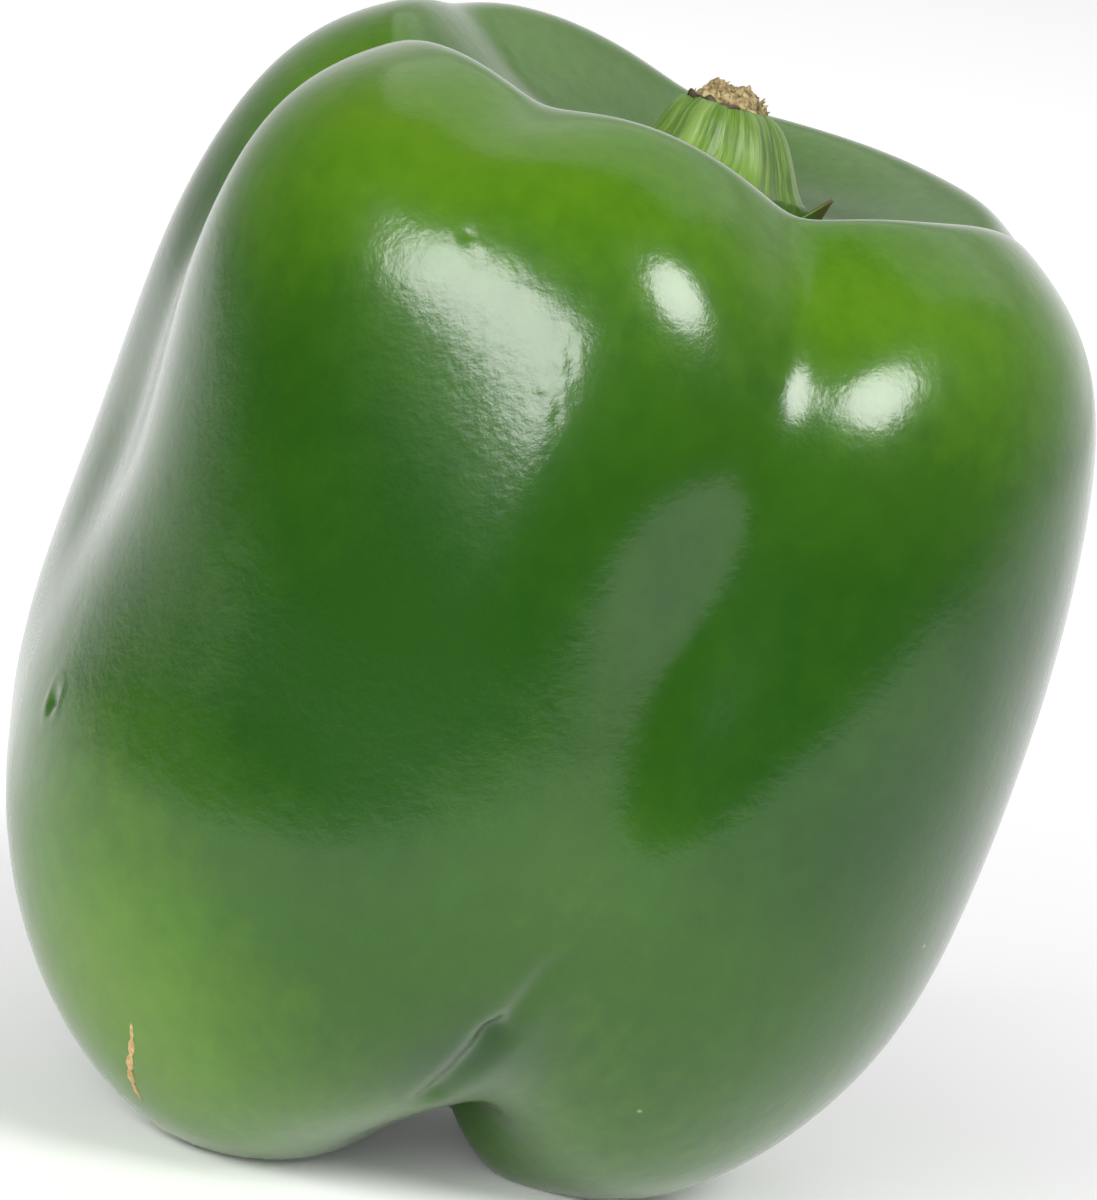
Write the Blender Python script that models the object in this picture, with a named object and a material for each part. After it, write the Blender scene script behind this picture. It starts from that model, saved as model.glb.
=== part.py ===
# Bell pepper: a four-lobed fruit standing on its lobes, with a short cut stem and its calyx.
#
# The fruit is one smooth closed surface. A stack of rings runs from the stem end to the
# blossom end; each ring is a round loop pinched by four valleys, and a uniform cubic
# B-spline joins the rings lengthwise. Lengths below are in millimetres along the fruit's
# own axis (height 0 near the feet) and angles are in degrees round it.

import math

import bmesh
import bpy
import numpy as np
from mathutils import Matrix

MM = 0.001

# ---------------------------------------------------------------- driving dimensions

TILT_X = -4.0           # the fruit leans a little backwards ...
TILT_Y = 8.0            # ... and to the right, because its lobes are unequal
FLAT_DEPTH = 0.5        # how much of the lowest lobes is flattened by standing
GAP = 0.3               # between the calyx and the crown it sits on

# Rings, from the stem end to the blossom end: radius and height on the crest of a lobe, depth
# of the valleys as a share of the radius, how far the valleys lie above (+) or below (-) the
# crests, and depth of the shoulder folds as a share of the radius.
RINGS = (
    # radius, height, valley depth, valley lift, fold depth
    (0.0, 88.0, 0.0, 0.0, 0.0),
    (6.0, 88.0, 0.0, 0.0, 0.0),
    (13.0, 88.5, 0.02, -0.5, 0.0),
    (20.0, 91.5, 0.06, -3.5, 0.03),
    (29.5, 98.0, 0.095, -5.0, 0.05),
    (33.0, 97.0, 0.12, -5.0, 0.04),
    (45.5, 90.0, 0.185, -5.0, 0.025),
    (48.0, 72.0, 0.13, -1.0, 0.01),
    (51.0, 55.5, 0.175, -0.5, 0.005),
    (46.5, 38.0, 0.085, 1.0, 0.0),
    (45.5, 20.5, 0.095, 2.5, 0.0),
    (37.5, 4.0, 0.225, 3.5, 0.0),
    (25.0, -8.0, 0.29, 13.0, 0.0),
    (12.0, -3.5, 0.22, 7.5, 0.0),
    (7.0, 10.0, 0.0, 3.0, 0.0),
    (0.0, 13.0, 0.0, 0.0, 0.0),
)

# Every triple below holds a value for the crown, the side and the foot of the fruit.
VALLEYS = (             # angle, strength, share of the usual width
    ((-70.0, -73.0, -70.0), (1.15, 1.15, 1.55), (1.0, 0.6, 1.0)),
    ((8.0, 8.0, 8.0), (1.05, 0.95, 0.8), (1.0, 1.0, 1.0)),
    ((94.0, 94.0, 94.0), (0.65, 0.75, 0.95), (1.0, 1.0, 1.0)),
    ((186.0, 186.0, 186.0), (1.4, 1.6, 0.45), (1.0, 1.0, 1.0)),
)
LOBES = (               # angle, size, rise of the shoulder, lift of the foot
    (-123.0, (1.02, 0.97, 1.03), 0.0, 0.7),
    (-28.0, (0.95, 0.965, 0.94), -1.0, -0.4),
    (52.0, (0.99, 0.97, 0.965), 0.0, 5.2),
    (137.0, (1.0, 1.125, 0.93), 3.5, 2.9),
)
FOLDS = (               # angle, strength of the creases that split a shoulder in two
    (-118.0, 1.05),
    (-44.0, 0.15),
    (45.0, 0.12),
    (146.0, 0.7),
)
VALLEY_WIDTH = (20.0, 26.0, 32.0)
VALLEY_ROUNDNESS = (0.35, 0.8, 0.35)
FOLD_WIDTH = 12.0
FOLD_ROUNDNESS = 0.6
FOLD_DROP = 60.0        # a shoulder fold sinks by this much times its depth
LOBE_SHARPNESS = 3.2    # how quickly one lobe's sizes give way to the next one's
CROWN_FROM, FOOT_FROM, BLEND = 55.0, 45.0, 35.0
NEAR_AXIS = 25.0        # inside this radius the rise and lift of the lobes fade out

FRUIT_SEGMENTS, FRUIT_RINGS = 48, 36

# Stem and calyx, in the fruit's own frame.
STEM_OFFSET = (0.9, 0.2)        # the stem stands a little off the axis
STEM_TIP = 97.6
STEM_PROFILE = (                # radius, height and rib depth, from the cut end to the calyx
    (2.0, 97.3, 0.0),
    (3.5, 96.6, 0.04),
    (4.9, 96.0, 0.07),
    (6.0, 94.6, 0.09),
    (6.8, 93.0, 0.10),
    (7.6, 91.6, 0.10),
    (9.0, 90.6, 0.10),
)
STEM_RIBS = 6
CALYX_REACH = 1.75              # how far the calyx reaches over the crown, in rings
CALYX_POINTS, CALYX_POINT_REACH = 6, 0.12
CALYX_EDGE = 0.9                # thickness of the calyx at its edge
CALYX_UNDERSIDE = (1.0, 0.65, 0.3)      # loops under the calyx, as shares of its reach
STEM_SEGMENTS = 36


# ---------------------------------------------------------------- shape of the fruit

def smooth(x):
    """Ramp from 0 to 1 with level ends."""
    x = np.clip(x, 0.0, 1.0)
    return x * x * (3.0 - 2.0 * x)


def zones(height):
    """Shares of the crown, the side and the foot at a height; they add up to 1."""
    crown = float(smooth((height - CROWN_FROM) / BLEND))
    foot = float(smooth((FOOT_FROM - height) / BLEND))
    return np.array((crown, 1.0 - crown - foot, foot))


def crease(angle, centre, width, roundness):
    """1 in the middle of a valley and falling off on both sides, with a rounded floor."""
    away = (angle - math.radians(centre) + math.pi) % (2.0 * math.pi) - math.pi
    away = away / math.radians(width)
    return np.exp(roundness - np.sqrt(away * away + roundness * roundness))


def rings_at(angle):
    """Radius and height of every ring at each angle, as two arrays of rings by angles."""
    centres = np.radians([lobe[0] for lobe in LOBES])
    share = np.exp(LOBE_SHARPNESS * np.cos(angle - centres[:, None]))
    share /= share.sum(axis=0)
    sizes = np.array([lobe[1] for lobe in LOBES])
    rise = np.array([lobe[2] for lobe in LOBES]) @ share
    lift = np.array([lobe[3] for lobe in LOBES]) @ share
    radii, heights = [], []
    for radius, height, depth, valley_lift, fold_depth in RINGS:
        zone = zones(height)
        valley = sum((zone @ strength) * crease(angle, zone @ centre, (zone * VALLEY_WIDTH) @ breadth,
                                                (zone * VALLEY_ROUNDNESS) @ breadth)
                     for centre, strength, breadth in VALLEYS)
        fold = fold_depth * sum(strength * crease(angle, centre, FOLD_WIDTH, FOLD_ROUNDNESS)
                                for centre, strength in FOLDS)
        near = min(1.0, radius / NEAR_AXIS)
        radii.append(radius * ((sizes @ zone) @ share) * (1.0 - depth * valley - fold))
        heights.append(height + valley_lift * valley - FOLD_DROP * fold * zone[0]
                       + near * (zone[0] * rise + zone[2] * lift))
    return np.array(radii), np.array(heights)


def fruit_points(angle, place):
    """Points of the skin; place runs from 0 at the crown's centre to the last ring."""
    radii, heights = rings_at(angle)
    far_radii, far_heights = rings_at(angle + math.pi)
    radii = np.vstack((-far_radii[1], radii, -far_radii[-2]))
    heights = np.vstack((far_heights[1], heights, far_heights[-2]))
    first = np.clip(place.astype(int), 0, len(RINGS) - 2)
    t = place - first
    weights = ((1 - t) ** 3 / 6, (3 * t ** 3 - 6 * t ** 2 + 4) / 6,
               (3 * t + 3 * t ** 2 - 3 * t ** 3 + 1) / 6, t ** 3 / 6)
    column = np.arange(len(angle))
    radius = sum(w * radii[first + i, column] for i, w in enumerate(weights))
    height = sum(w * heights[first + i, column] for i, w in enumerate(weights))
    return np.stack((radius * np.cos(angle), radius * np.sin(angle), height), axis=-1)


# ---------------------------------------------------------------- shape of the stem

def stem_loops(angle):
    """Every loop of the stem and calyx from the tip down to the axis under the calyx."""
    ribs = np.cos(STEM_RIBS * angle)
    tip = np.tile((*STEM_OFFSET, STEM_TIP), (len(angle), 1))
    loops = [tip]
    for radius, height, depth in STEM_PROFILE:
        radius = radius * (1.0 + depth * ribs)
        loops.append(np.stack((radius * np.cos(angle) + STEM_OFFSET[0],
                               radius * np.sin(angle) + STEM_OFFSET[1],
                               np.full_like(angle, height)), axis=-1))
    reach = CALYX_REACH + CALYX_POINT_REACH * np.cos(CALYX_POINTS * angle)
    under = [fruit_points(angle, reach * share) + (0.0, 0.0, GAP)
             for share in (*CALYX_UNDERSIDE, 0.0)]
    return np.array([*loops, under[0] + (0.0, 0.0, CALYX_EDGE), *under])


# ---------------------------------------------------------------- building

def clear_scene():
    for obj in list(bpy.data.objects):
        bpy.data.objects.remove(obj)


def collection(name):
    group = bpy.data.collections.new(name)
    bpy.context.scene.collection.children.link(group)
    return group


def material(name, colour, roughness):
    mat = bpy.data.materials.new(name)
    mat.use_nodes = True
    shader = mat.node_tree.nodes["Principled BSDF"]
    shader.inputs["Base Color"].default_value = (*colour, 1.0)
    shader.inputs["Roughness"].default_value = roughness
    shader.inputs["Metallic"].default_value = 0.0
    return mat


def shaped_sphere(name, segments, rings, points_of, finish, group, parent):
    """A UV sphere whose points are moved to points_of(angle, share of the way down)."""
    bm = bmesh.new()
    bmesh.ops.create_uvsphere(bm, u_segments=segments, v_segments=rings, radius=1.0)
    ball = np.array([vert.co for vert in bm.verts])
    angle = np.arctan2(ball[:, 1], ball[:, 0])
    down = np.arccos(np.clip(ball[:, 2], -1.0, 1.0)) / math.pi
    for vert, place in zip(bm.verts, points_of(angle, down) * MM):
        vert.co = place
    bmesh.ops.triangulate(bm, faces=bm.faces)
    bmesh.ops.recalc_face_normals(bm, faces=bm.faces)
    mesh = bpy.data.meshes.new(name)
    bm.to_mesh(mesh)
    bm.free()
    mesh.materials.append(finish)
    mesh.shade_smooth()
    obj = bpy.data.objects.new(name, mesh)
    group.objects.link(obj)
    obj.parent = parent
    return obj


def fruit(group, parent):
    return shaped_sphere(
        "fruit_body", FRUIT_SEGMENTS, FRUIT_RINGS,
        lambda angle, down: fruit_points(angle, down * (len(RINGS) - 1)),
        material("pepper_skin", (0.075, 0.19, 0.025), 0.2), group, parent)


def stem(group, parent):
    loops = len(stem_loops(np.zeros(1))) - 1

    def points(angle, down):
        row = np.rint(down * loops).astype(int)
        return stem_loops(angle)[row, np.arange(len(angle))]

    return shaped_sphere("stem_and_calyx", STEM_SEGMENTS, loops, points,
                         material("pepper_stem", (0.2, 0.33, 0.06), 0.5), group, parent)


def set_down(frame, obj):
    """Moves the frame so that the leaning fruit is centred over the origin and its lowest
    points are FLAT_DEPTH below the ground."""
    turn = frame.rotation_euler.to_matrix()
    points = np.array([turn @ vert.co for vert in obj.data.vertices])
    middle = (points.min(axis=0) + points.max(axis=0)) / 2.0
    frame.location = (-middle[0], -middle[1], -points[:, 2].min() - FLAT_DEPTH * MM)


def flatten_feet(obj, group):
    """Cuts the fruit off level at the ground, which leaves a small flat under each lobe."""
    bm = bmesh.new()
    bmesh.ops.create_cube(bm, size=1.0)
    mesh = bpy.data.meshes.new("ground_cutter")
    bm.to_mesh(mesh)
    bm.free()
    cutter = bpy.data.objects.new("ground_cutter", mesh)
    mesh.transform(Matrix.Diagonal((0.2, 0.2, 0.02, 1.0)))
    cutter.location = (0.0, 0.0, -0.01)
    cutter.hide_render = True
    cutter.display_type = "WIRE"
    group.objects.link(cutter)
    cut = obj.modifiers.new("flat feet", "BOOLEAN")
    cut.operation = "DIFFERENCE"
    cut.solver = "EXACT"
    cut.object = cutter


clear_scene()
parts = collection("bell_pepper")
cutters = collection("cutters")
frame = bpy.data.objects.new("pepper_frame", None)
parts.objects.link(frame)
frame.rotation_euler = (math.radians(TILT_X), math.radians(TILT_Y), 0.0)
body = fruit(parts, frame)
stem(parts, frame)
set_down(frame, body)
flatten_feet(body, cutters)
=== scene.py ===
import math

import bpy
import numpy as np
from mathutils import Matrix, Vector


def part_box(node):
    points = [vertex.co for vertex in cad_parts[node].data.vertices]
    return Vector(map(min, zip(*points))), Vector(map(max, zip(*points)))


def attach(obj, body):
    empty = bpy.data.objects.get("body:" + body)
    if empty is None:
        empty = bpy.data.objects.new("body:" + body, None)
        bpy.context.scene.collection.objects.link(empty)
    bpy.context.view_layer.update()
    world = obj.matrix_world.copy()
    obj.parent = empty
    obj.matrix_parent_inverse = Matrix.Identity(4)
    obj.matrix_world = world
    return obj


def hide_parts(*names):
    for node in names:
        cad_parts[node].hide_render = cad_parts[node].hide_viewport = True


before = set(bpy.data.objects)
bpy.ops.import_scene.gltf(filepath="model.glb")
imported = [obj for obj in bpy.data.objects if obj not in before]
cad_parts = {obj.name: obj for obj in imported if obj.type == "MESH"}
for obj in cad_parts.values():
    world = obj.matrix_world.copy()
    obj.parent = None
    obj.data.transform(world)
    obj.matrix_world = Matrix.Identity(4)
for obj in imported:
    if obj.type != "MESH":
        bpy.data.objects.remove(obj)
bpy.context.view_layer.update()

mm = 0.001
deg = math.pi / 180.0

def smooth(x):
    # ramp from 0 to 1 with level ends: 3x^2 - 2x^3
    x = np.clip(x, 0.0, 1.0)
    return x * x * (3.0 - 2.0 * x)


def around(angle, centre):
    # signed angle from centre, wrapped to half a turn either way
    return (angle - centre + math.pi) % (2.0 * math.pi) - math.pi


def waves(points, length, seed, count=9):
    # smooth noise of about +-1: plane sine waves of one wavelength, in random directions and phases
    dice = np.random.default_rng(seed)
    heading = dice.normal(size=(count, 3))
    heading /= np.linalg.norm(heading, axis=1)[:, None]
    phase = dice.uniform(0.0, 2.0 * math.pi, count)
    stretch = dice.uniform(0.75, 1.3, count)
    out = np.zeros(points.shape[:-1])
    for way, start, scale in zip(heading, phase, stretch):
        out += np.sin(points @ way * (2.0 * math.pi * scale / length) + start)
    return out * math.sqrt(2.0 / count) * 0.7


def gridNormals(points):
    # outward unit normals of a grid of points: cross product of the two difference directions
    across = np.roll(points, -1, axis=1) - np.roll(points, 1, axis=1)
    down = np.gradient(points, axis=0)
    normal = np.cross(across, down)
    return -normal / np.maximum(np.linalg.norm(normal, axis=-1, keepdims=True), 1e-12)


def meshFromGrid(name, points, attributes=None):
    # closed tube of quads from rows of points (rows, columns, 3); the first and the last row are
    # each gathered into one pole point, so no seam or hole is left
    rows, columns = points.shape[:2]
    count = rows - 2
    poles = (points[0].mean(axis=0)[None, :], points[-1].mean(axis=0)[None, :])
    verts = np.vstack((points[1:-1].reshape(-1, 3),) + poles) * mm
    ring = np.arange(columns)
    nextRing = np.roll(ring, -1)
    base = np.arange(count - 1)[:, None] * columns
    quads = np.stack([base + ring, base + columns + ring, base + columns + nextRing,
                      base + nextRing], axis=-1).reshape(-1, 4)
    topPole = count * columns
    low = (count - 1) * columns
    tris = np.vstack((np.stack([np.full(columns, topPole), ring, nextRing], axis=-1),
                      np.stack([np.full(columns, topPole + 1), low + nextRing, low + ring], axis=-1)))
    loops = np.concatenate([quads.ravel(), tris.ravel()])
    starts = np.concatenate([np.arange(len(quads)) * 4, len(quads) * 4 + np.arange(len(tris)) * 3])
    mesh = bpy.data.meshes.new(name)
    mesh.vertices.add(len(verts))
    mesh.vertices.foreach_set("co", verts.astype(np.float32).ravel())
    mesh.loops.add(len(loops))
    mesh.loops.foreach_set("vertex_index", loops.astype(np.int32))
    mesh.polygons.add(len(starts))
    mesh.polygons.foreach_set("loop_start", starts.astype(np.int32))
    mesh.update(calc_edges=True)
    mesh.validate()
    for key, values in (attributes or {}).items():
        whole = np.concatenate([values[1:-1].reshape(-1, *values.shape[2:]),
                                values[0].mean(axis=0, keepdims=True),
                                values[-1].mean(axis=0, keepdims=True)])
        isVector = whole.ndim == 2
        layer = mesh.attributes.new(key, "FLOAT_VECTOR" if isVector else "FLOAT", "POINT")
        layer.data.foreach_set("vector" if isVector else "value", whole.astype(np.float32).ravel())
    mesh.shade_smooth()
    obj = bpy.data.objects.new(name, mesh)
    bpy.context.scene.collection.objects.link(obj)
    return obj


# Heights and radii are in millimetres along the fruit's own axis, angles in degrees round it.
# Triples hold a value for the crown, the side and the foot.
fruit = {
    "tilt": (-4.0, 8.0),            # lean about X and Y, degrees
    "rings": (
        # radius, height, valley depth, valley lift, fold depth
        (0.0, 88.0, 0.0, 0.0, 0.0),
        (6.0, 88.0, 0.0, 0.0, 0.0),
        (13.0, 88.5, 0.02, -0.5, 0.0),
        (20.0, 91.5, 0.06, -3.5, 0.03),
        (29.5, 98.0, 0.095, -5.0, 0.05),
        (33.0, 97.0, 0.12, -5.0, 0.04),
        (45.5, 90.0, 0.185, -5.0, 0.025),
        (48.0, 72.0, 0.13, -1.0, 0.01),
        (51.0, 55.5, 0.175, -0.5, 0.005),
        (46.5, 38.0, 0.085, 1.0, 0.0),
        (45.5, 20.5, 0.095, 2.5, 0.0),
        (37.5, 4.0, 0.225, 3.5, 0.0),
        (25.0, -8.0, 0.29, 13.0, 0.0),
        (12.0, -3.5, 0.22, 7.5, 0.0),
        (7.0, 10.0, 0.0, 3.0, 0.0),
        (0.0, 13.0, 0.0, 0.0, 0.0),
    ),
    "valleys": (                    # angle, strength, share of the usual width
        ((-70.0, -73.0, -70.0), (1.15, 1.15, 1.55), (1.0, 0.6, 1.0)),
        ((8.0, 8.0, 8.0), (1.05, 0.95, 0.8), (1.0, 1.0, 1.0)),
        ((94.0, 94.0, 94.0), (0.65, 0.75, 0.95), (1.0, 1.0, 1.0)),
        ((186.0, 186.0, 186.0), (1.4, 1.6, 0.45), (1.0, 1.0, 1.0)),
    ),
    "lobes": (                      # angle, size, rise of the shoulder, lift of the foot
        (-123.0, (1.02, 0.97, 1.03), 0.0, 0.7),
        (-28.0, (0.95, 0.965, 0.94), -1.0, -0.4),
        (52.0, (0.99, 0.97, 0.965), 0.0, 5.2),
        (137.0, (1.0, 1.125, 0.93), 3.5, 2.9),
    ),
    "folds": (                      # angle, strength
        (-118.0, 1.05),
        (-44.0, 0.15),
        (45.0, 0.12),
        (146.0, 0.7),
    ),
    "valleyWidth": (20.0, 26.0, 32.0),
    "valleyRoundness": (0.35, 0.8, 0.35),
    "foldWidth": 12.0,
    "foldRoundness": 0.6,
    "foldDrop": 60.0,
    "lobeSharpness": 3.2,
    "crownFrom": 55.0,
    "footFrom": 45.0,
    "blend": 35.0,
    "nearAxis": 25.0,
}


def zones(height):
    # shares of crown, side and foot at a height, two smooth ramps and what they leave
    crown = float(smooth((height - fruit["crownFrom"]) / fruit["blend"]))
    foot = float(smooth((fruit["footFrom"] - height) / fruit["blend"]))
    return np.array((crown, 1.0 - crown - foot, foot))


def crease(angle, centre, width, roundness):
    # exp(r - sqrt(a^2 + r^2)) of the angle from the centre in widths: a valley with a round floor
    away = around(angle, centre * deg) / (width * deg)
    return np.exp(roundness - np.sqrt(away * away + roundness * roundness))


def ringsAt(angle):
    # radius and height of every ring at each angle: a circle, shrunk in the valleys and folds and
    # scaled lobe by lobe, the lobes weighted by exp(sharpness * cos(angle from the lobe))
    lobes = fruit["lobes"]
    centres = np.array([lobe[0] for lobe in lobes]) * deg
    share = np.exp(fruit["lobeSharpness"] * np.cos(angle - centres[:, None]))
    share /= share.sum(axis=0)
    sizes = np.array([lobe[1] for lobe in lobes])
    rise = np.array([lobe[2] for lobe in lobes]) @ share
    lift = np.array([lobe[3] for lobe in lobes]) @ share
    radii, heights = [], []
    for radius, height, depth, valleyLift, foldDepth in fruit["rings"]:
        zone = zones(height)
        valley = sum((zone @ strength) * crease(angle, zone @ centre,
                                                (zone * fruit["valleyWidth"]) @ breadth,
                                                (zone * fruit["valleyRoundness"]) @ breadth)
                     for centre, strength, breadth in fruit["valleys"])
        fold = foldDepth * sum(
            strength * crease(angle, centre, fruit["foldWidth"], fruit["foldRoundness"])
            for centre, strength in fruit["folds"])
        near = min(1.0, radius / fruit["nearAxis"])
        radii.append(radius * ((sizes @ zone) @ share) * (1.0 - depth * valley - fold))
        heights.append(height + valleyLift * valley - fruit["foldDrop"] * fold * zone[0]
                       + near * (zone[0] * rise + zone[2] * lift))
    return np.array(radii), np.array(heights)


def fruitGrid(angle, place):
    # points of the smooth skin in columns of one angle each; place, by rows and columns, runs from
    # 0 at the crown's centre to 15 at the blossom end. A uniform cubic B-spline through the rings,
    # carried over both poles
    radii, heights = ringsAt(angle)
    farRadii, farHeights = ringsAt(angle + math.pi)
    radii = np.vstack((-farRadii[1], radii, -farRadii[-2]))
    heights = np.vstack((farHeights[1], heights, farHeights[-2]))
    place = place + 0.0 * angle
    first = np.clip(place.astype(int), 0, len(fruit["rings"]) - 2)
    t = place - first
    weights = ((1 - t) ** 3 / 6, (3 * t ** 3 - 6 * t ** 2 + 4) / 6,
               (3 * t + 3 * t ** 2 - 3 * t ** 3 + 1) / 6, t ** 3 / 6)
    column = np.arange(len(angle))
    radius = sum(w * radii[first + i, column] for i, w in enumerate(weights))
    height = sum(w * heights[first + i, column] for i, w in enumerate(weights))
    return np.stack((radius * np.cos(angle), radius * np.sin(angle), height), axis=-1)


def skinSpot(angle, place):
    # one point of the smooth skin, angle in degrees
    return fruitGrid(np.array([angle * deg]), np.array([[place]]))[0, 0]


def unevenSteps(start, end, count, dense):
    # parameter values that crowd together inside the dense spans: equal steps of the integral of
    # a density of 1 outside and of the gain inside each (low, high, gain)
    fine = np.linspace(start, end, 6001)
    density = np.ones_like(fine)
    for low, high, gain in dense:
        edge = 0.08 * (high - low)
        inside = smooth((fine - low) / edge) * smooth((high - fine) / edge)
        density += (gain - 1.0) * inside
    total = np.concatenate([[0.0], np.cumsum((density[1:] + density[:-1]) / 2.0)])
    return np.interp(np.linspace(0.0, total[-1], count), total, fine)


skin = {
    "columns": 420,
    "rows": 232,
    "closeAngles": ((-165.0, -40.0, 2.2),),     # finer columns over the near side, degrees
    "closePlaces": ((5.2, 11.8, 1.7),),         # finer rows between shoulder and foot
    "waves": (                                  # wavelength mm, height mm, seed
        (26.0, 0.03, 3),
        (13.0, 0.012, 5),
        (6.5, 0.005, 7),
        (3.2, 0.0025, 11),
    ),
    "pits": (                                   # angle, place, radius mm, depth mm
        (-151.2, 9.36, 0.75, 0.36),
        (-111.8, 6.29, 0.6, 0.09),
        (-106.2, 6.58, 0.4, 0.08),
        (-106.5, 6.78, 0.4, 0.07),
        (-103.0, 6.57, 0.4, 0.06),
        (-98.6, 6.64, 0.5, 0.05),
        (-97.0, 6.70, 0.45, 0.06),
        (-96.2, 6.80, 0.5, 0.05),
        (-97.9, 6.86, 0.5, 0.06),
        (-96.9, 6.93, 0.45, 0.06),
        (-98.4, 7.00, 0.5, 0.05),
        (-95.9, 7.03, 0.45, 0.05),
        (-109.6, 6.42, 0.45, 0.05),
        (-104.5, 6.42, 0.4, 0.05),
    ),
    "swells": (                                 # angle, place, radius mm, height mm
        (-62.5, 6.33, 7.5, 0.42),
        (-71.5, 6.75, 11.0, 1.7),
        (-86.0, 6.18, 7.0, 0.28),
    ),
    "grooves": (                                # angle and place of both ends, width, depth mm
        (-76.5, 9.85, -79.5, 10.30, 1.3, 0.45),
        (-79.5, 10.30, -83.5, 10.85, 1.5, 0.9),
    ),
    "crownFade": 2.5,               # places over which the waves die out at the two ends
    "blossomFade": 1.5,
    "pitRim": (0.25, 1.9, 0.6),     # height as a share of the depth, distance and width in radii
    "footSoftness": 0.12,           # millimetres that the skin rounds off where it meets the ground
    "grainRadius": 45.0,
    "grainStep": 14.0,
    "tones": ((0.0, 0.50), (3.0, 0.50), (4.6, 0.62), (5.8, 0.66), (6.6, 0.34), (7.4, 0.06),
              (8.6, 0.05), (9.6, 0.26), (11.0, 0.42), (12.5, 0.40), (15.0, 0.30)),   # place, tone
    "toneAndShadeSpots": (                              # angle, place, radius mm, tone added
        # painted shade: this spot darkens the groove at the notch between the feet, where the floor beneath
        # lies in shadow
        (-81.0, 10.5, 5.0, -0.45),
        (-98.0, 9.2, 14.0, -0.10),
        (-112.0, 8.9, 12.0, -0.15),
        (-127.0, 6.3, 15.0, 0.20),
        (-138.0, 11.0, 20.0, 0.42),
        (-160.0, 8.5, 24.0, 0.22),
        (-78.0, 9.0, 14.0, 0.14),
        (-84.0, 7.4, 13.0, 0.10),
        (-45.0, 6.6, 14.0, 0.10),
    ),
}


def fruitPlace():
    # turn and shift from the fruit's own frame to the scene: lean, then centre over the CAD box
    turn = (Matrix.Rotation(fruit["tilt"][1] * deg, 3, "Y")
            @ Matrix.Rotation(fruit["tilt"][0] * deg, 3, "X"))
    turn = np.array(turn)
    angle = np.linspace(-math.pi, math.pi, 241)[:-1]
    place = np.linspace(0.0, len(fruit["rings"]) - 1.0, 241)[:, None]
    points = fruitGrid(angle, place).reshape(-1, 3) @ turn.T
    low, high = (np.array(corner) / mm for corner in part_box("fruit_body"))
    shift = (low + high) / 2.0 - (points.min(axis=0) + points.max(axis=0)) / 2.0
    shift[2] = high[2] - points[:, 2].max()
    return turn, shift


turn, shift = fruitPlace()


def toScene(points):
    # the fruit's own millimetres turned and shifted into the scene's
    return points @ turn.T + shift


def makeSkin():
    # the smooth skin pushed along its normals by waves, round swells exp(-r^2), grooves along
    # straight runs and pits with a low rim; the ground flattens it as (z + sqrt(z^2 + s^2)) / 2
    ringCount = len(fruit["rings"]) - 1.0
    spans = [(low * deg, high * deg, gain) for low, high, gain in skin["closeAngles"]]
    angle = unevenSteps(-math.pi, math.pi, skin["columns"] + 1, spans)[:-1]
    place = unevenSteps(0.0, ringCount, skin["rows"], skin["closePlaces"])
    points = fruitGrid(angle, place[:, None])
    normal = gridNormals(points)
    fade = smooth(place / skin["crownFade"]) * smooth((ringCount - place) / skin["blossomFade"])
    push = sum(height * waves(points, length, seed) for length, height, seed in skin["waves"])
    push = push * fade[:, None]
    for swellAngle, swellPlace, radius, height in skin["swells"]:
        centre = skinSpot(swellAngle, swellPlace)
        push += height * np.exp(-(np.linalg.norm(points - centre, axis=-1) / radius) ** 2)
    for fromAngle, fromPlace, toAngle, toPlace, width, depth in skin["grooves"]:
        start = skinSpot(fromAngle, fromPlace)
        way = skinSpot(toAngle, toPlace) - start
        share = np.clip((points - start) @ way / (way @ way), 0.0, 1.0)
        away = np.linalg.norm(points - start - share[..., None] * way, axis=-1) / width
        push -= depth * np.exp(-away ** 2)
    for pitAngle, pitPlace, radius, depth in skin["pits"]:
        centre = skinSpot(pitAngle, pitPlace)
        away = np.linalg.norm(points - centre, axis=-1) / radius
        push -= depth * np.exp(-away ** 2)
        rimHeight, rimAway, rimWidth = skin["pitRim"]
        push += rimHeight * depth * np.exp(-((away - rimAway) / rimWidth) ** 2)
    points = points + normal * push[..., None]
    world = toScene(points)
    soft = skin["footSoftness"]
    world[..., 2] = 0.5 * (world[..., 2] + np.sqrt(world[..., 2] ** 2 + soft * soft))
    shape = points.shape[:2]
    grain = np.stack((np.broadcast_to(skin["grainRadius"] * np.cos(angle), shape),
                      np.broadcast_to(skin["grainRadius"] * np.sin(angle), shape),
                      np.broadcast_to(skin["grainStep"] * place[:, None], shape)), axis=-1)
    tonePlaces, toneValues = zip(*skin["tones"])
    tone = np.broadcast_to(np.interp(place, tonePlaces, toneValues)[:, None], shape).copy()
    # spots of tone, one of them painted shade darkening the notch
    for spotAngle, spotPlace, radius, amount in skin["toneAndShadeSpots"]:
        centre = skinSpot(spotAngle, spotPlace)
        tone += amount * np.exp(-(np.linalg.norm(points - centre, axis=-1) / radius) ** 2)
    return meshFromGrid("pepperSkin", world, {"grain": grain * mm, "tone": tone})


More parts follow.
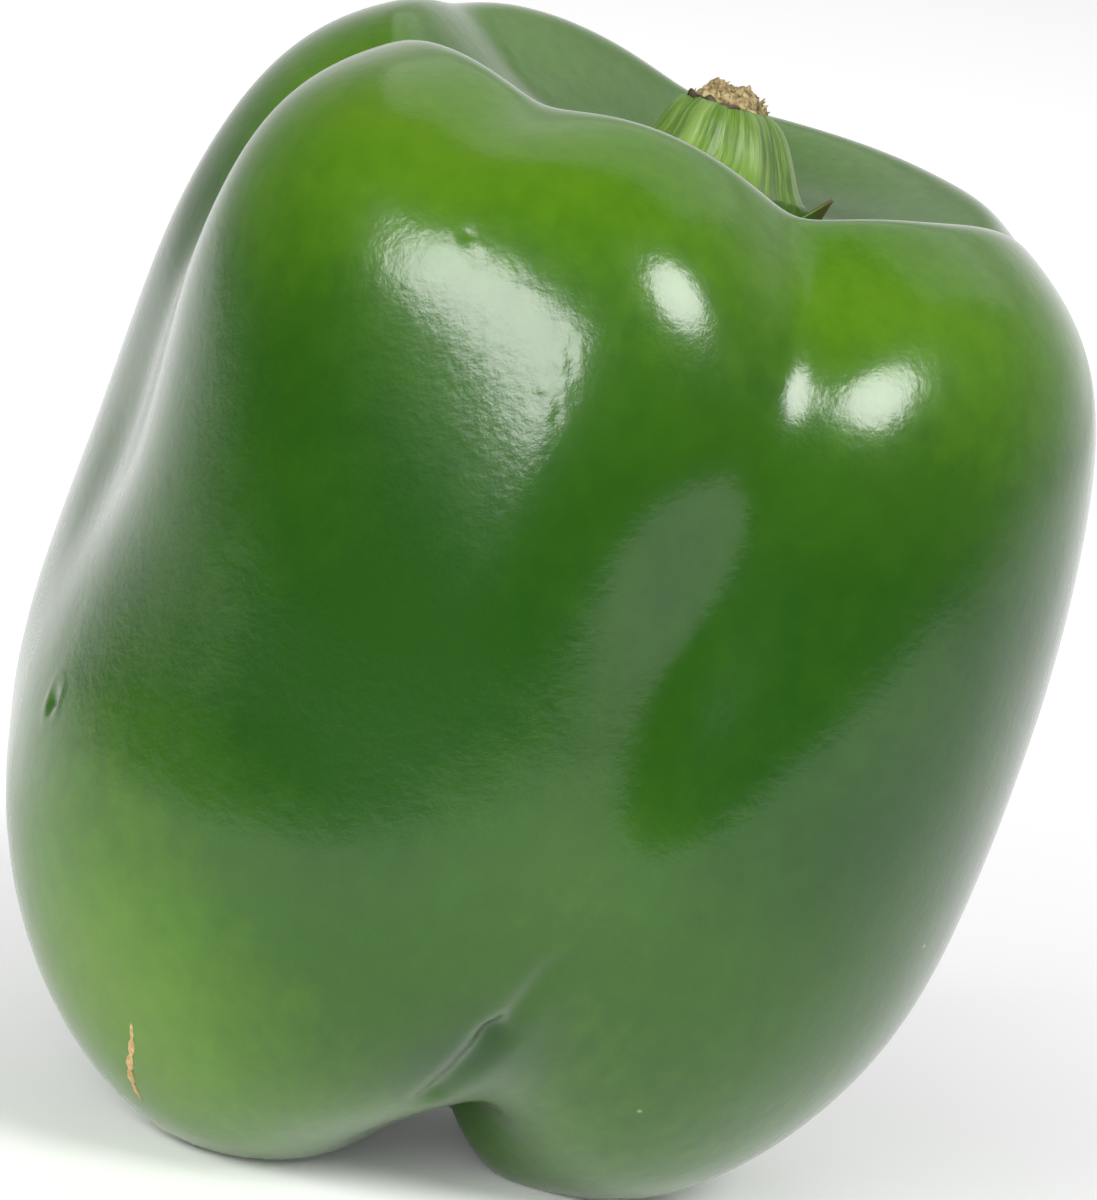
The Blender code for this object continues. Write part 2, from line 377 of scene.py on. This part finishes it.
stem = {
    "columns": 252,
    "profile": (                    # radius, height, sideways shift, from the cut to the calyx
        (2.6, 96.9, 1.0),
        (3.3, 96.8, 1.0),
        (4.1, 96.3, 1.1),
        (4.9, 95.3, 1.2),
        (5.4, 94.1, 1.4),
        (5.9, 93.0, 1.5),
        (6.5, 92.0, 1.4),
        (7.4, 91.1, 1.0),
        (8.4, 90.5, 0.5),
    ),
    "profileRows": 90,
    "ribs": 6,
    "ribDepth": 0.060,
    "calyxRadius": 9.2,
    "tipReach": 2.4,                # how far the sepals' points stand out of the calyx
    "tipSharpness": 3.0,
    "tipCurl": (3.6, 0.7, 1.2, 2.1, 0.9, 1.6),      # millimetres each point rises, from angle 0
    "calyxRows": 26,
    "thickness": 0.55,
    "fibreHeight": 0.05,
    "grainRadius": 9.0,
}


def splineRows(control, count):
    # points along a uniform cubic B-spline through rows of control values, ends doubled up
    control = np.asarray(control, float)
    padded = np.vstack((2 * control[0] - control[1], control, 2 * control[-1] - control[-2]))
    t = np.linspace(0.0, len(control) - 1.0, count)
    first = np.clip(t.astype(int), 0, len(control) - 2)
    t = (t - first)[:, None]
    return ((1 - t) ** 3 * padded[first] + (3 * t ** 3 - 6 * t ** 2 + 4) * padded[first + 1]
            + (3 * t + 3 * t ** 2 - 3 * t ** 3 + 1) * padded[first + 2]
            + t ** 3 * padded[first + 3]) / 6.0


def crownHeight(angle, radius):
    # height of the skin over a spot on the crown, by angle columns and rows of radius
    steps = np.linspace(0.0, 2.6, 27)
    sample = fruitGrid(angle, steps[:, None])
    reach = np.hypot(sample[..., 0], sample[..., 1]).mean(axis=1)
    place = np.interp(radius, reach, steps)
    return fruitGrid(angle, place)[..., 2]


def makeStem():
    # one closed skin: down the ribbed stalk, out over the calyx to its points and back under it
    angle = np.linspace(-math.pi, math.pi, stem["columns"] + 1)[:-1]
    rib = 0.5 + 0.5 * np.cos(stem["ribs"] * angle)
    rib = rib ** 0.8 - 0.5 + 0.12 * np.sin(3.0 * angle + 1.0) + 0.10 * np.sin(17.0 * angle)
    rows = splineRows(stem["profile"], stem["profileRows"])
    down = np.linspace(0.0, 1.0, len(rows))
    ribShare = stem["ribDepth"] * (0.25 + 0.9 * smooth(down / 0.35) - 0.25 * down)
    radius = rows[:, :1] * (1.0 + 2.0 * ribShare[:, None] * rib)
    grainX = stem["grainRadius"] * np.cos(angle)
    grainY = stem["grainRadius"] * np.sin(angle)
    fibres = waves(np.stack((grainX + 0 * rows[:, :1], grainY + 0 * rows[:, :1],
                             0.25 * rows[:, 1:2] + 0 * angle), axis=-1), 1.3, 21)
    radius = radius + stem["fibreHeight"] * fibres
    stalk = np.stack((radius * np.cos(angle) + rows[:, 2:3], radius * np.sin(angle),
                      rows[:, 1:2] + 0.0 * angle), axis=-1)

    tip = np.abs(np.cos(stem["ribs"] / 2.0 * angle)) ** stem["tipSharpness"]
    edge = stem["calyxRadius"] + stem["tipReach"] * tip + 0.25 * np.sin(5.0 * angle + 0.6)
    curls = np.array(stem["tipCurl"])
    sector = np.rint(angle / (2.0 * math.pi / stem["ribs"])).astype(int) % stem["ribs"]
    curl = curls[sector] * tip
    out = np.linspace(0.0, 1.0, stem["calyxRows"] + 1)[1:, None]
    last = stalk[-1]
    start = np.hypot(last[:, 0], last[:, 1])
    bearing = np.arctan2(last[:, 1], last[:, 0])
    reach = start + (edge - start) * out
    turnBack = around(bearing, angle) * (1.0 - out)
    ground = crownHeight(angle, reach)
    lift = (last[:, 2] - ground[0]) * (1.0 - smooth(out)) ** 1.3 + stem["thickness"] * smooth(out)
    top = ground + lift + curl * out ** 3
    calyx = np.stack((reach * np.cos(angle + turnBack), reach * np.sin(angle + turnBack), top), axis=-1)

    back = np.array((1.01, 1.0, 0.96, 0.85, 0.65, 0.45, 0.25, 0.08, 0.0))[:, None]
    sink = np.array((0.5, 0.85, 1.0, 1.0, 1.0, 1.0, 1.0, 1.0, 1.0))[:, None]
    under = crownHeight(angle, edge * back) + stem["thickness"] * (1.0 - sink)
    share = np.clip((edge * back - start) / (edge - start), 0.0, 1.0)
    under = under + curl * share ** 3
    below = np.stack((edge * back * np.cos(angle), edge * back * np.sin(angle), under), axis=-1)

    cutCentre = np.broadcast_to(stalk[:1].mean(axis=1, keepdims=True), stalk[:1].shape)
    points = np.concatenate((cutCentre, stalk, calyx, below))
    height = np.concatenate((np.zeros(1), 0.55 * down, 0.55 + 0.45 * out[:, 0], np.ones(len(back))))
    dry = np.concatenate((np.zeros((1 + len(stalk), len(angle))), out ** 6 * tip,
                          np.repeat(tip[None], len(back), axis=0)))
    # the rib shape, which the material turns into a painted highlight along the crests
    paintedRibHighlight = np.repeat(rib[None], len(points), axis=0)
    shape = points.shape[:2]
    return meshFromGrid("stemAndCalyx", toScene(points), {
        "down": np.broadcast_to(height[:, None], shape), "dry": dry, "paintedRibHighlight": paintedRibHighlight,
        "grain": np.stack((np.broadcast_to(grainX, shape), np.broadcast_to(grainY, shape),
                           np.broadcast_to(2.0 * height[:, None], shape)), axis=-1) * mm})


scar = {
    "from": (-129.0, 10.77),        # angle and place of the two ends
    "to": (-134.5, 11.45),
    "width": 0.42,                  # half width and half height, millimetres
    "height": 0.10,
}


def makeScar():
    # healed scratch low on the left lobe: a flat tapering thread laid half into the skin
    t = np.linspace(0.0, 1.0, 70)
    angle = scar["from"][0] + (scar["to"][0] - scar["from"][0]) * t + 0.5 * np.sin(6.5 * t + 0.4)
    place = scar["from"][1] + (scar["to"][1] - scar["from"][1]) * t
    step = 0.01
    path, ahead, aside = (np.stack([skinSpot(a + da / deg, p + dp) for a, p in zip(angle, place)])
                          for da, dp in ((0.0, 0.0), (0.0, step), (step, 0.0)))
    outward = np.cross(ahead - path, aside - path)
    outward /= np.linalg.norm(outward, axis=1)[:, None]
    outward *= np.sign((outward * (path - (0.0, 0.0, 45.0))).sum(axis=1))[:, None]
    along = np.gradient(path, axis=0)
    along /= np.linalg.norm(along, axis=1)[:, None]
    side = np.cross(outward, along)
    swell = np.sin(t * math.pi) ** 0.5 * (0.8 + 0.25 * np.sin(t * 31.0) + 0.12 * np.sin(t * 67.0))
    turnAngle = np.linspace(0.0, 2.0 * math.pi, 13)[:-1]
    points = (path[:, None]
              + side[:, None] * (np.cos(turnAngle) * scar["width"])[:, None] * swell[:, None, None]
              + outward[:, None] * (np.sin(turnAngle) * scar["height"])[:, None] * swell[:, None, None])
    return meshFromGrid("scar", toScene(points))


cut = {
    "centre": (1.0, 0.0),
    "radius": 3.25,
    "rim": 96.5,
    "rise": 1.7,
    "lump": 0.28,
    "fibres": 60,
    "fibreLength": (0.35, 0.85),
    "fibreRadius": (0.10, 0.22),
}


def makeCut():
    # the dried cut end: a lumpy dome, rim + rise * (1 - r^2)^0.6, broken up by short waves
    angle = np.linspace(-math.pi, math.pi, 121)[:-1]
    out = np.linspace(0.0, 1.0, 44)[:, None]
    radius = cut["radius"] * np.sin(out * math.pi / 2.0) * (1.0 + 0.05 * np.sin(7 * angle + 1.0))
    height = cut["rim"] + cut["rise"] * np.clip(1.0 - np.sin(out * math.pi / 2.0) ** 2, 0, 1) ** 0.6
    x = radius * np.cos(angle) + cut["centre"][0]
    y = radius * np.sin(angle) + cut["centre"][1]
    points = np.stack((x, y, height + 0.0 * angle), axis=-1)
    rough = cut["lump"] * (waves(points, 1.6, 31) + 0.6 * waves(points, 0.7, 32))
    points[..., 2] += rough * smooth(1.15 - out)
    points[..., :2] += (0.10 * waves(points, 0.9, 33))[..., None] * smooth(out * 3.0)[..., None]
    foot = points[-1:].copy()
    foot[..., 2] -= 1.2
    points = np.concatenate((points, foot, foot.mean(axis=1, keepdims=True) + 0.0 * foot))
    return meshFromGrid("cutEnd", toScene(points))


def tubeGrid(path, radius, sides):
    # rings of a tube along many paths at once: path (tubes, steps, 3), radius (tubes, steps)
    along = np.gradient(path, axis=1)
    along /= np.linalg.norm(along, axis=-1, keepdims=True)
    helper = np.where(np.abs(along[..., 2:]) > 0.9, (1.0, 0.0, 0.0), (0.0, 0.0, 1.0))
    side = np.cross(along, helper)
    side /= np.linalg.norm(side, axis=-1, keepdims=True)
    other = np.cross(along, side)
    turnAngle = np.arange(sides) * (2.0 * math.pi / sides)
    ring = (side[:, :, None] * np.cos(turnAngle)[:, None] + other[:, :, None] * np.sin(turnAngle)[:, None])
    return path[:, :, None] + ring * radius[:, :, None, None]


def makeFibres():
    # short torn strands standing round the rim and over the dome, each a tapering curved tube
    dice = np.random.default_rng(8)
    count, steps, sides = cut["fibres"], 6, 6
    angle = dice.uniform(-math.pi, math.pi, count)
    out = np.sqrt(dice.uniform(0.12, 1.0, count))
    length = dice.uniform(*cut["fibreLength"], count)
    thick = dice.uniform(*cut["fibreRadius"], count)
    t = np.linspace(0.0, 1.0, steps)
    base = np.stack((cut["radius"] * out * np.cos(angle) + cut["centre"][0],
                     cut["radius"] * out * np.sin(angle) + cut["centre"][1],
                     cut["rim"] - 0.35 + cut["rise"] * (1.0 - out ** 2) ** 0.6), axis=-1)
    lean = np.stack((np.cos(angle) * (0.25 * out - 0.45), np.sin(angle) * (0.25 * out - 0.45),
                     np.ones(count)), axis=-1)
    lean += dice.normal(0.0, 0.32, (count, 3)) * (1.0, 1.0, 0.2)
    bend = dice.normal(0.0, 0.35, (count, 3)) * (1.0, 1.0, 0.3)
    path = (base[:, None] + lean[:, None] * (length[:, None] * t)[..., None]
            + bend[:, None] * (length[:, None] * t * t)[..., None])
    radius = thick[:, None] * (1.0 - 0.75 * t ** 2)
    rings = tubeGrid(path, radius, sides)
    verts = np.concatenate((rings.reshape(count, -1, 3), path[:, :1], path[:, -1:]), axis=1)
    each = verts.shape[1]
    ring = np.arange(sides)
    nextRing = np.roll(ring, -1)
    level = (np.arange(steps - 1) * sides)[:, None]
    quads = np.stack([level + ring, level + nextRing, level + sides + nextRing, level + sides + ring],
                     axis=-1).reshape(-1, 4)
    low = np.stack([np.full(sides, each - 2), nextRing, ring], axis=-1)
    top = (steps - 1) * sides
    high = np.stack([np.full(sides, each - 1), top + ring, top + nextRing], axis=-1)
    start = (np.arange(count) * each)[:, None, None]
    faces = (quads + start).reshape(-1, 4).tolist()
    faces += (np.concatenate((low, high)) + start).reshape(-1, 3).tolist()
    mesh = bpy.data.meshes.new("cutFibres")
    mesh.from_pydata((toScene(verts.reshape(-1, 3)) * mm).tolist(), [], faces)
    shade = np.repeat(dice.uniform(0.0, 1.0, count), each)
    layer = mesh.attributes.new("shade", "FLOAT", "POINT")
    layer.data.foreach_set("value", shade.astype(np.float32))
    mesh.shade_smooth()
    obj = bpy.data.objects.new("cutFibres", mesh)
    bpy.context.scene.collection.objects.link(obj)
    return obj


lip = {
    "from": -205.0,                 # degrees round the cut, over the near left side
    "to": -70.0,
    "radius": 3.45,
    "height": 96.55,
    "thick": (0.16, 0.34),          # half width and half height in the middle
}


def makeLip():
    # dark torn strip of skin along the rim of the cut: a flattened tube, thin at both ends
    t = np.linspace(0.0, 1.0, 60)
    angle = (lip["from"] + (lip["to"] - lip["from"]) * t) * deg
    swell = np.sin(t * math.pi) ** 0.6
    wander = 0.16 * np.sin(t * 23.0) + 0.09 * np.sin(t * 41.0 + 1.0)
    radius = lip["radius"] + 0.25 * np.exp(-((t - 0.28) / 0.1) ** 2) + 0.4 * wander
    centre = np.stack((radius * np.cos(angle) + cut["centre"][0], radius * np.sin(angle) + cut["centre"][1],
                       lip["height"] + wander + 0.35 * (t - 0.4) ** 2), axis=-1)
    round_ = np.linspace(0.0, 2.0 * math.pi, 15)[:-1]
    outward = np.stack((np.cos(angle), np.sin(angle), 0.0 * angle), axis=-1)
    upward = np.array((0.0, 0.0, 1.0))
    points = (centre[:, None] + outward[:, None] * (np.cos(round_) * lip["thick"][0])[:, None]
              * swell[:, None, None]
              + upward * (np.sin(round_) * lip["thick"][1])[:, None] * swell[:, None, None])
    return meshFromGrid("cutLip", toScene(points))



def newMaterial(name):
    # an empty node material with its main shader
    mat = bpy.data.materials.new(name)
    mat.use_nodes = True
    tree = mat.node_tree
    shader = tree.nodes["Principled BSDF"]
    return mat, tree, shader


def addNode(tree, kind, **values):
    # makes a node and sets its sockets by name, with underscores for spaces; settings that are
    # not sockets go straight on the node
    node = tree.nodes.new(kind)
    for key, value in values.items():
        label = key.replace("_", " ")
        if label in node.inputs:
            node.inputs[label].default_value = value
        else:
            setattr(node, key, value)
    return node


def ramp(tree, source, stops, easing="LINEAR"):
    # colour ramp fed by a value; stops are (position, colour or grey)
    node = tree.nodes.new("ShaderNodeValToRGB")
    node.color_ramp.interpolation = easing
    while len(node.color_ramp.elements) < len(stops):
        node.color_ramp.elements.new(0.5)
    for element, (position, colour) in zip(node.color_ramp.elements, stops):
        element.position = position
        grey = isinstance(colour, (int, float))
        element.color = (colour, colour, colour, 1.0) if grey else (*colour, 1.0)
    tree.links.new(source, node.inputs["Fac"])
    return node.outputs["Color"]


def mixColour(tree, factor, first, second, blend="MIX"):
    # factor, first and second may each be a socket or a fixed value
    node = tree.nodes.new("ShaderNodeMix")
    node.data_type = "RGBA"
    node.blend_type = blend
    for socket, value in ((node.inputs[0], factor), (node.inputs[6], first), (node.inputs[7], second)):
        if isinstance(value, bpy.types.NodeSocket):
            tree.links.new(value, socket)
        elif isinstance(value, tuple):
            socket.default_value = (*value, 1.0)
        else:
            socket.default_value = value
    return node.outputs[2]


def mathNode(tree, operation, *values):
    # one sum on sockets or fixed values, by the operation's name
    node = tree.nodes.new("ShaderNodeMath")
    node.operation = operation
    for socket, value in zip(node.inputs, values):
        if isinstance(value, bpy.types.NodeSocket):
            tree.links.new(value, socket)
        else:
            socket.default_value = value
    return node.outputs[0]


def noise(tree, vector, scale, detail=2.0, roughness=0.5):
    # cloudy noise of about 0 to 1; its grains are about 1 / scale metres across
    node = addNode(tree, "ShaderNodeTexNoise", Scale=scale, Detail=detail, Roughness=roughness)
    tree.links.new(vector, node.inputs["Vector"])
    return node.outputs["Fac"]


skinFinish = {
    "dark": (0.0100, 0.056, 0.0020),
    "green": (0.024, 0.086, 0.0032),
    "light": (0.062, 0.160, 0.0058),
    "yellow": (0.105, 0.205, 0.010),
    "speck": (0.20, 0.30, 0.12),
    "roughness": 0.32,
    "coatRoughness": 0.17,
}


def skinMaterial():
    # waxy green: tone + clouds + streaks along the lobes pick a colour from dark to yellow-green, the tone
    # also carrying painted shade in the notch;
    # pale specks sit in a few cells, and a clear coat over fine bumps gives the shine
    mat, tree, shader = newMaterial("pepper_skin")
    place = tree.nodes.new("ShaderNodeTexCoord").outputs["Object"]
    grain = addNode(tree, "ShaderNodeAttribute", attribute_name="grain").outputs["Vector"]
    tone = addNode(tree, "ShaderNodeAttribute", attribute_name="tone").outputs["Fac"]
    cloud = mathNode(tree, "MULTIPLY_ADD", noise(tree, place, 45.0, 3.0, 0.45), 0.36, -0.18)
    streak = mathNode(tree, "MULTIPLY_ADD", noise(tree, grain, 420.0, 3.0, 0.55), 0.26, -0.13)
    shade = mathNode(tree, "ADD", mathNode(tree, "ADD", cloud, streak), tone)
    colour = ramp(tree, shade, ((0.02, skinFinish["dark"]), (0.36, skinFinish["green"]),
                                (0.68, skinFinish["light"]), (1.0, skinFinish["yellow"])))
    cells = addNode(tree, "ShaderNodeTexVoronoi", Scale=190.0)
    tree.links.new(place, cells.inputs["Vector"])
    speck = ramp(tree, cells.outputs["Distance"], ((0.025, 1.0), (0.055, 0.0)))
    pick = tree.nodes.new("ShaderNodeSeparateColor")
    tree.links.new(cells.outputs["Color"], pick.inputs[0])
    chosen = mathNode(tree, "GREATER_THAN", pick.outputs[0], 0.88)
    colour = mixColour(tree, mathNode(tree, "MULTIPLY", speck, chosen), colour, skinFinish["speck"])
    tree.links.new(colour, shader.inputs["Base Color"])
    shader.inputs["Roughness"].default_value = skinFinish["roughness"]
    shader.inputs["IOR"].default_value = 1.45
    shader.inputs["Specular IOR Level"].default_value = 0.12
    shader.inputs["Coat Weight"].default_value = 1.0
    shader.inputs["Coat Roughness"].default_value = skinFinish["coatRoughness"]
    shader.inputs["Coat IOR"].default_value = 1.45
    bump = addNode(tree, "ShaderNodeBump", Strength=0.07, Distance=0.0004)
    tree.links.new(noise(tree, place, 1100.0, 3.0, 0.6), bump.inputs["Height"])
    tree.links.new(bump.outputs["Normal"], shader.inputs["Normal"])
    tree.links.new(bump.outputs["Normal"], shader.inputs["Coat Normal"])
    return mat


stemFinish = {
    "green": (0.105, 0.21, 0.024),
    "dark": (0.050, 0.115, 0.011),
    # pale streaks, and the painted highlight along the rib crests
    "pale": (0.22, 0.33, 0.085),
    "dry": (0.10, 0.065, 0.022),
    "roughness": 0.38,
}


def stemMaterial():
    # yellow-green with long fine streaks and a painted highlight of pale colour along the rib crests,
    # darker calyx, dry brown points
    mat, tree, shader = newMaterial("pepper_stem")
    place = tree.nodes.new("ShaderNodeTexCoord").outputs["Object"]
    grain = addNode(tree, "ShaderNodeAttribute", attribute_name="grain").outputs["Vector"]
    down = addNode(tree, "ShaderNodeAttribute", attribute_name="down").outputs["Fac"]
    dry = addNode(tree, "ShaderNodeAttribute", attribute_name="dry").outputs["Fac"]
    paintedRibHighlight = addNode(tree, "ShaderNodeAttribute", attribute_name="paintedRibHighlight").outputs["Fac"]
    patchy = noise(tree, place, 260.0, 3.0)
    colour = mixColour(tree, ramp(tree, patchy, ((0.35, 0.0), (0.7, 0.8))), stemFinish["green"],
                       stemFinish["dark"])
    streak = noise(tree, grain, 1500.0, 3.0, 0.6)
    colour = mixColour(tree, ramp(tree, streak, ((0.48, 0.0), (0.68, 0.7))), colour, stemFinish["pale"])
    # painted highlight: pale colour along the crests of the ribs
    colour = mixColour(tree, ramp(tree, paintedRibHighlight, ((0.25, 0.0), (0.55, 0.55))), colour, stemFinish["pale"])
    calyx = ramp(tree, down, ((0.50, 0.0), (0.64, 1.0)))
    colour = mixColour(tree, calyx, colour, stemFinish["dark"])
    colour = mixColour(tree, ramp(tree, dry, ((0.5, 0.0), (0.95, 0.85))), colour, stemFinish["dry"])
    tree.links.new(colour, shader.inputs["Base Color"])
    shader.inputs["Roughness"].default_value = stemFinish["roughness"]
    bump = addNode(tree, "ShaderNodeBump", Strength=0.35, Distance=0.0003)
    tree.links.new(noise(tree, grain, 2400.0, 3.0, 0.6), bump.inputs["Height"])
    tree.links.new(bump.outputs["Normal"], shader.inputs["Normal"])
    return mat


scarFinish = {
    "tan": (0.42, 0.25, 0.10),
    "pale": (0.60, 0.42, 0.20),
}


def scarMaterial():
    # corky tan with paler flecks
    mat, tree, shader = newMaterial("scarCork")
    place = tree.nodes.new("ShaderNodeTexCoord").outputs["Object"]
    fleck = noise(tree, place, 1800.0, 3.0)
    tree.links.new(ramp(tree, fleck, ((0.35, scarFinish["tan"]), (0.7, scarFinish["pale"]))),
                   shader.inputs["Base Color"])
    shader.inputs["Roughness"].default_value = 0.6
    return mat


cutFinish = {
    "tan": (0.27, 0.20, 0.085),
    "straw": (0.42, 0.34, 0.17),
    "brown": (0.060, 0.040, 0.016),
    "lip": (0.035, 0.030, 0.014),
}


def cutMaterial(name, strands=False):
    # dry fibres: tan and straw with dark gaps; each strand has a shade of its own
    mat, tree, shader = newMaterial(name)
    place = tree.nodes.new("ShaderNodeTexCoord").outputs["Object"]
    fleck = noise(tree, place, 1500.0, 4.0, 0.7)
    colour = ramp(tree, fleck, ((0.36, cutFinish["brown"]), (0.50, cutFinish["tan"]),
                                (0.66, cutFinish["straw"])))
    if strands:
        shade = addNode(tree, "ShaderNodeAttribute", attribute_name="shade").outputs["Fac"]
        tone = ramp(tree, shade, ((0.1, cutFinish["brown"]), (0.55, cutFinish["tan"]),
                                  (0.95, cutFinish["straw"])))
        colour = mixColour(tree, 0.6, colour, tone)
    tree.links.new(colour, shader.inputs["Base Color"])
    shader.inputs["Roughness"].default_value = 0.75
    return mat


def lipMaterial():
    # dried skin, nearly black with brown flecks
    mat, tree, shader = newMaterial("cutLipDark")
    place = tree.nodes.new("ShaderNodeTexCoord").outputs["Object"]
    fleck = noise(tree, place, 1200.0, 3.0)
    colour = ramp(tree, fleck, ((0.35, cutFinish["lip"]), (0.75, cutFinish["brown"])))
    tree.links.new(colour, shader.inputs["Base Color"])
    shader.inputs["Roughness"].default_value = 0.6
    return mat


def floorMaterial():
    # matt near-white table with painted light: it glows faintly near the pepper and more towards the back
    mat, tree, shader = newMaterial("paleFloor")
    shader.inputs["Base Color"].default_value = (0.93, 0.93, 0.93, 1.0)
    shader.inputs["Emission Color"].default_value = (1.0, 1.0, 1.0, 1.0)
    place = tree.nodes.new("ShaderNodeTexCoord").outputs["Object"]
    split = tree.nodes.new("ShaderNodeSeparateXYZ")
    tree.links.new(place, split.inputs[0])
    # painted light: emission strength rises with distance behind the pepper
    glow = ramp(tree, split.outputs["Y"], ((0.0, 0.06), (0.12, 0.30), (0.55, 0.62)), "EASE")
    tree.links.new(glow, shader.inputs["Emission Strength"])
    shader.inputs["Roughness"].default_value = 0.8
    shader.inputs["Specular IOR Level"].default_value = 0.2
    return mat


stage = {
    "floorFront": -0.20,        # metres; the sheet ends a little in front of the pepper
    "floorReach": 4.0,
    "distance": 0.7,
    "lens": 246.7,
    "azimuth": 1.4,             # degrees, towards +X from the front
    "elevation": 9.9,
    "roll": 9.9,
    "aimHeight": 50.0,          # millimetres along the fruit's axis
    "aimOffset": (-0.05, 2.0),  # millimetres right and up from the aim point to the picture's middle
}


def makeFloor():
    # one flat sheet from just in front of the pepper to far behind it
    reach = stage["floorReach"]
    corners = [(-reach, stage["floorFront"], 0.0), (reach, stage["floorFront"], 0.0),
               (reach, reach, 0.0), (-reach, reach, 0.0)]
    mesh = bpy.data.meshes.new("floor")
    mesh.from_pydata(corners, [], [(0, 1, 2, 3)])
    obj = bpy.data.objects.new("floor", mesh)
    bpy.context.scene.collection.objects.link(obj)
    mesh.materials.append(floorMaterial())


def direction(azimuth, elevation):
    # unit vector towards azimuth (0 = front, -Y; positive to the right) and elevation
    a, e = azimuth * deg, elevation * deg
    return Vector((math.sin(a) * math.cos(e), -math.cos(a) * math.cos(e), math.sin(e)))


def makeCamera():
    # long lens aimed at the fruit's axis, turned about its own line of sight by the roll
    back = direction(stage["azimuth"], stage["elevation"])
    level = Vector((math.cos(stage["azimuth"] * deg), math.sin(stage["azimuth"] * deg), 0.0))
    upright = back.cross(level)
    roll = stage["roll"] * deg
    right = level * math.cos(roll) + upright * math.sin(roll)
    up = back.cross(right)
    aim = Vector(toScene(np.array([0.0, 0.0, stage["aimHeight"]]))) * mm
    aim += (right * stage["aimOffset"][0] + up * stage["aimOffset"][1]) * mm
    data = bpy.data.cameras.new("camera")
    data.sensor_width = 36.0
    data.lens = stage["lens"]
    data.clip_start, data.clip_end = 0.01, 50.0
    obj = bpy.data.objects.new("camera", data)
    bpy.context.scene.collection.objects.link(obj)
    turned = Matrix((right, up, back)).transposed().to_4x4()
    obj.matrix_world = Matrix.Translation(aim + back * stage["distance"]) @ turned
    bpy.context.scene.camera = obj


lights = (
    # name, outline, azimuth, elevation, turn, distance m, width m, height m, watts
    ("softboxLeft", "RECTANGLE", -23.0, 22.5, 17.0, 0.9, 1.06, 0.27, 12.0),
    ("softboxRight", "ELLIPSE", 50.0, 36.0, 0.0, 0.9, 0.40, 0.36, 5.6),
    ("backPanel", "RECTANGLE", 165.0, 60.0, 0.0, 1.35, 1.6, 0.9, 3.0),
)


def makeLights():
    # flat panels aimed at the pepper's middle, each turned in its own plane
    centre = Vector((0.0, 0.0, 0.05))
    for name, outline, azimuth, elevation, turned, distance, width, height, watts in lights:
        data = bpy.data.lights.new(name, "AREA")
        data.shape = outline
        data.size, data.size_y = width, height
        data.energy = watts
        obj = bpy.data.objects.new(name, data)
        bpy.context.scene.collection.objects.link(obj)
        toward = direction(azimuth, elevation)
        aim = toward.to_track_quat("Z", "Y").to_matrix() @ Matrix.Rotation(-turned * deg, 3, "Z")
        obj.matrix_world = Matrix.Translation(centre + toward * distance) @ aim.to_4x4()
        obj.visible_camera = False


sky = {
    "byDepth": ((0.0, 0.02), (0.33, 0.03), (0.50, 0.10), (0.75, 0.40), (1.0, 0.95)),
    "byHeight": ((0.50, 1.0), (0.70, 0.9), (0.88, 0.35), (1.0, 0.08)),
    "rightward": 0.68,
}


def makeWorld():
    # an unlit room in front and overhead, brighter behind and to the right: the brightness is
    # byDepth(Y) * byHeight(Z) * (1 + rightward * X) of the direction; the lens sees plain white
    world = bpy.data.worlds.new("studio")
    bpy.context.scene.world = world
    world.use_nodes = True
    tree = world.node_tree
    tree.nodes.clear()
    coords = tree.nodes.new("ShaderNodeTexCoord")
    split = tree.nodes.new("ShaderNodeSeparateXYZ")
    tree.links.new(coords.outputs["Generated"], split.inputs[0])
    depth = mathNode(tree, "MULTIPLY_ADD", split.outputs["Y"], 0.5, 0.5)
    rise = mathNode(tree, "MULTIPLY_ADD", split.outputs["Z"], 0.5, 0.5)
    aside = mathNode(tree, "MULTIPLY_ADD", split.outputs["X"], sky["rightward"], 1.0)
    level = mathNode(tree, "MULTIPLY", ramp(tree, depth, sky["byDepth"]),
                     ramp(tree, rise, sky["byHeight"]))
    level = mathNode(tree, "MULTIPLY", level, aside)
    room = tree.nodes.new("ShaderNodeBackground")
    tree.links.new(level, room.inputs["Color"])
    room.inputs["Strength"].default_value = 1.0
    plain = tree.nodes.new("ShaderNodeBackground")
    plain.inputs["Color"].default_value = (1.0, 1.0, 1.0, 1.0)
    plain.inputs["Strength"].default_value = 1.0
    path = tree.nodes.new("ShaderNodeLightPath")
    mix = tree.nodes.new("ShaderNodeMixShader")
    tree.links.new(path.outputs["Is Camera Ray"], mix.inputs[0])
    tree.links.new(room.outputs[0], mix.inputs[1])
    tree.links.new(plain.outputs[0], mix.inputs[2])
    output = tree.nodes.new("ShaderNodeOutputWorld")
    tree.links.new(mix.outputs[0], output.inputs["Surface"])


makeCamera()
makeWorld()
makeLights()
makeFloor()
print("stage, lights and camera ready")

skinObject = makeSkin()
skinObject.data.materials.append(skinMaterial())
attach(skinObject, "root")
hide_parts("fruit_body")
print("skin ready:", len(skinObject.data.polygons), "faces")

scarObject = makeScar()
scarObject.data.materials.append(scarMaterial())
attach(scarObject, "root")
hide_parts("fruit_body")
print("scar ready")

stemPieces = (
    (makeStem(), stemMaterial()),
    (makeCut(), cutMaterial("cutDry")),
    (makeFibres(), cutMaterial("cutStrands", strands=True)),
    (makeLip(), lipMaterial()),
)
for piece, finish in stemPieces:
    piece.data.materials.append(finish)
    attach(piece, "root")
    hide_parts("stem_and_calyx")
print("stem, calyx and cut end ready")

bpy.context.scene.view_settings.view_transform = "Standard"
bpy.context.scene.view_settings.look = "None"
